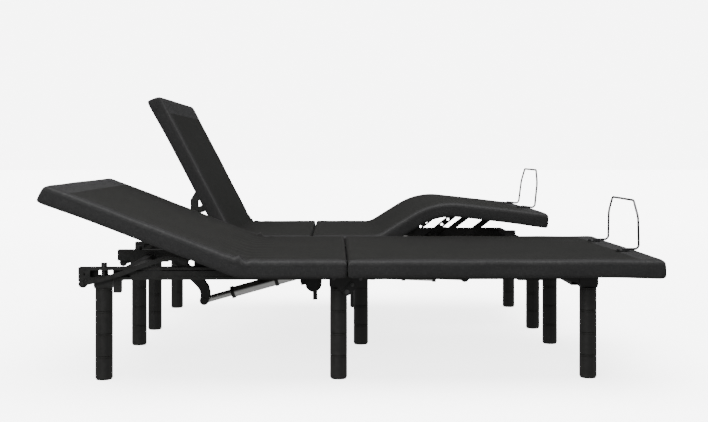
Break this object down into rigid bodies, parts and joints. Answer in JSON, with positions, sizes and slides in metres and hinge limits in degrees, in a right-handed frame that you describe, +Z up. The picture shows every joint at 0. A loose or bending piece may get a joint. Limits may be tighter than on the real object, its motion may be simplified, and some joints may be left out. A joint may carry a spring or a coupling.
{
  "type": "adjustable bed base",
  "caption": "Split adjustable bed base: side-by-side single bases on screw-in legs, with powered head, thigh and calf sections.",
  "frame": {"origin": "on the floor, in the middle of the outline at the stored pose", "axes": "+X from the head end to the foot end, +Y from the right-hand sleeper to the left-hand sleeper, +Z up"},
  "size_m": [1.9851, 1.94, 0.9763],
  "materials": {
    "black_steel": "satin black powder coat",
    "leg_plastic": "satin black",
    "black_plastic": "matt black",
    "dark_steel": "black zinc",
    "polished_tube": "polished",
    "steel_rod": "ground",
    "chrome": "bright chrome",
    "plywood": "bare plywood",
    "charcoal_fabric": "woven upholstery"
  },
  "bodies": {
    "frame": {"frame_rails": "black_steel", "frame_crossbars": "black_steel", "leg_brackets": "black_steel", "leg_segments": "leg_plastic", "leg_studs": "dark_steel", "leg_foot_pads": "leg_plastic", "fold_hinge_plates": "black_steel", "fold_hinge_bolts": "dark_steel", "control_boxes": "black_plastic"},
    "right_carriage": {"right_carriage_rails": "black_steel", "right_carriage_crossbars": "black_steel", "right_slide_blocks": "black_plastic", "right_seat_boards": "plywood", "right_seat_pad": "charcoal_fabric", "right_mid_pad": "charcoal_fabric"},
    "right_head": {"right_head_board": "plywood", "right_head_frame": "black_steel", "right_head_pad": "charcoal_fabric"},
    "right_head_link": {"right_head_link_arms": "black_steel"},
    "right_head_drive": {"right_head_motor": "black_plastic", "right_head_actuator_tube": "polished_tube"},
    "right_head_rod": {"right_head_actuator_rod": "steel_rod"},
    "right_thigh": {"right_thigh_board": "plywood", "right_thigh_frame": "black_steel", "right_thigh_pad": "charcoal_fabric"},
    "right_calf": {"right_calf_board": "plywood", "right_calf_frame": "black_steel", "right_calf_pad": "charcoal_fabric", "right_mattress_retainer": "chrome"},
    "right_rear_links": {"right_rear_calf_links": "black_steel"},
    "right_front_links": {"right_front_calf_links": "black_steel"},
    "right_leg_drive": {"right_leg_motor": "black_plastic", "right_leg_actuator_tube": "polished_tube"},
    "right_leg_rod": {"right_leg_actuator_rod": "steel_rod"},
    "left_carriage": {"left_carriage_rails": "black_steel", "left_carriage_crossbars": "black_steel", "left_slide_blocks": "black_plastic", "left_seat_boards": "plywood", "left_seat_pad": "charcoal_fabric", "left_mid_pad": "charcoal_fabric"},
    "left_head": {"left_head_board": "plywood", "left_head_frame": "black_steel", "left_head_pad": "charcoal_fabric"},
    "left_head_link": {"left_head_link_arms": "black_steel"},
    "left_head_drive": {"left_head_motor": "black_plastic", "left_head_actuator_tube": "polished_tube"},
    "left_head_rod": {"left_head_actuator_rod": "steel_rod"},
    "left_thigh": {"left_thigh_board": "plywood", "left_thigh_frame": "black_steel", "left_thigh_pad": "charcoal_fabric"},
    "left_calf": {"left_calf_board": "plywood", "left_calf_frame": "black_steel", "left_calf_pad": "charcoal_fabric", "left_mattress_retainer": "chrome"},
    "left_rear_links": {"left_rear_calf_links": "black_steel"},
    "left_front_links": {"left_front_calf_links": "black_steel"},
    "left_leg_drive": {"left_leg_motor": "black_plastic", "left_leg_actuator_tube": "polished_tube"},
    "left_leg_rod": {"left_leg_actuator_rod": "steel_rod"}
  },
  "joints": [
    {"name": "right_head_tilt", "type": "hinge", "parent": "right_carriage", "child": "right_head", "pos_m": [-0.365, -0.4875, 0.363], "axis": [0, 1, 0], "range_deg": [-21.3, 41.2]},
    {"name": "right_carriage_slide", "type": "slide", "parent": "frame", "child": "right_carriage", "axis": [1, 0, 0], "range_m": [-0.09099, 0.04801]},
    {"name": "right_head_link_swing", "type": "hinge", "parent": "frame", "child": "right_head_link", "pos_m": [-0.887, -0.4875, 0.317], "axis": [0, -1, 0], "range_deg": [-12.38, 23.49]},
    {"name": "right_head_drive_tilt", "type": "hinge", "parent": "right_carriage", "child": "right_head_drive", "pos_m": [-0.139, -0.4875, 0.324], "axis": [0, 1, 0], "range_deg": [-10.92, 20.66]},
    {"name": "right_head_rod_slide", "type": "slide", "parent": "right_head_drive", "child": "right_head_rod", "axis": [-0.9637, 0, -0.2669], "range_m": [-0.02968, 0.05554]},
    {"name": "right_thigh_lift", "type": "hinge", "parent": "right_carriage", "child": "right_thigh", "pos_m": [0.262, -0.4875, 0.363], "axis": [0, -1, 0], "range_deg": [0, 32]},
    {"name": "right_calf_bend", "type": "hinge", "parent": "right_thigh", "child": "right_calf", "pos_m": [0.53, -0.4875, 0.363], "axis": [0, -1, 0], "range_deg": [-39, 0.5]},
    {"name": "right_rear_link_swing", "type": "hinge", "parent": "right_carriage", "child": "right_rear_links", "pos_m": [0.429, -0.4875, 0.35], "axis": [0, -1, 0], "range_deg": [-0.5, 39.54]},
    {"name": "right_front_link_swing", "type": "hinge", "parent": "right_carriage", "child": "right_front_links", "pos_m": [0.586, -0.4875, 0.35], "axis": [0, -1, 0], "range_deg": [-0.5, 37.62]},
    {"name": "right_leg_drive_tilt", "type": "hinge", "parent": "right_carriage", "child": "right_leg_drive", "pos_m": [0.049, -0.4875, 0.311], "axis": [0, -1, 0], "range_deg": [-0.5, 13.79]},
    {"name": "right_leg_rod_slide", "type": "slide", "parent": "right_leg_drive", "child": "right_leg_rod", "axis": [0.9991, 0, -0.042], "range_m": [-0.002, 0.02553]},
    {"name": "left_head_tilt", "type": "hinge", "parent": "left_carriage", "child": "left_head", "pos_m": [-0.5, 0.4875, 0.363], "axis": [0, 1, 0], "range_deg": [-62.5, 0]},
    {"name": "left_carriage_slide", "type": "slide", "parent": "frame", "child": "left_carriage", "axis": [1, 0, 0], "range_m": [-0.002, 0.137]},
    {"name": "left_head_link_swing", "type": "hinge", "parent": "frame", "child": "left_head_link", "pos_m": [-0.887, 0.4875, 0.317], "axis": [0, -1, 0], "range_deg": [-35.38, 0.5]},
    {"name": "left_head_drive_tilt", "type": "hinge", "parent": "left_carriage", "child": "left_head_drive", "pos_m": [-0.274, 0.4875, 0.324], "axis": [0, 1, 0], "range_deg": [-31.09, 0.5]},
    {"name": "left_head_rod_slide", "type": "slide", "parent": "left_head_drive", "child": "left_head_rod", "axis": [-0.9966, 0, 0.0819], "range_m": [-0.0733, 0.002]},
    {"name": "left_thigh_lift", "type": "hinge", "parent": "left_carriage", "child": "left_thigh", "pos_m": [0.127, 0.4875, 0.363], "axis": [0, -1, 0], "range_deg": [-32, 0]},
    {"name": "left_calf_bend", "type": "hinge", "parent": "left_thigh", "child": "left_calf", "pos_m": [0.35428, 0.4875, 0.50502], "axis": [0, -1, 0], "range_deg": [-0.5, 39]},
    {"name": "left_rear_link_swing", "type": "hinge", "parent": "left_carriage", "child": "left_rear_links", "pos_m": [0.294, 0.4875, 0.35], "axis": [0, -1, 0], "range_deg": [-39.54, 0.5]},
    {"name": "left_front_link_swing", "type": "hinge", "parent": "left_carriage", "child": "left_front_links", "pos_m": [0.451, 0.4875, 0.35], "axis": [0, -1, 0], "range_deg": [-37.62, 0.5]},
    {"name": "left_leg_drive_tilt", "type": "hinge", "parent": "left_carriage", "child": "left_leg_drive", "pos_m": [-0.086, 0.4875, 0.311], "axis": [0, -1, 0], "range_deg": [-13.86, 0.5]},
    {"name": "left_leg_rod_slide", "type": "slide", "parent": "left_leg_drive", "child": "left_leg_rod", "axis": [0.9819, 0, 0.1894], "range_m": [-0.01877, 0.002]}
  ],
  "couplings": [
    {"joint": "right_carriage_slide", "follows": "right_head_tilt", "m_per_rad": -0.12376},
    {"joint": "right_head_link_swing", "follows": "right_head_tilt", "ratio": 0.558},
    {"joint": "right_head_drive_tilt", "follows": "right_head_tilt", "ratio": 0.48931},
    {"joint": "right_head_rod_slide", "follows": "right_head_tilt", "m_per_rad": 0.074458},
    {"joint": "right_calf_bend", "follows": "right_thigh_lift", "ratio": -1.2031},
    {"joint": "right_rear_link_swing", "follows": "right_thigh_lift", "ratio": 1.22},
    {"joint": "right_front_link_swing", "follows": "right_thigh_lift", "ratio": 1.16},
    {"joint": "right_leg_drive_tilt", "follows": "right_thigh_lift", "ratio": 0.41531},
    {"joint": "right_leg_rod_slide", "follows": "right_thigh_lift", "m_per_rad": 0.042122},
    {"joint": "left_carriage_slide", "follows": "left_head_tilt", "m_per_rad": -0.12376},
    {"joint": "left_head_link_swing", "follows": "left_head_tilt", "ratio": 0.558},
    {"joint": "left_head_drive_tilt", "follows": "left_head_tilt", "ratio": 0.48952},
    {"joint": "left_head_rod_slide", "follows": "left_head_tilt", "m_per_rad": 0.065367},
    {"joint": "left_calf_bend", "follows": "left_thigh_lift", "ratio": -1.2031},
    {"joint": "left_rear_link_swing", "follows": "left_thigh_lift", "ratio": 1.22},
    {"joint": "left_front_link_swing", "follows": "left_thigh_lift", "ratio": 1.16},
    {"joint": "left_leg_drive_tilt", "follows": "left_thigh_lift", "ratio": 0.41753},
    {"joint": "left_leg_rod_slide", "follows": "left_thigh_lift", "m_per_rad": 0.030025}
  ]
}
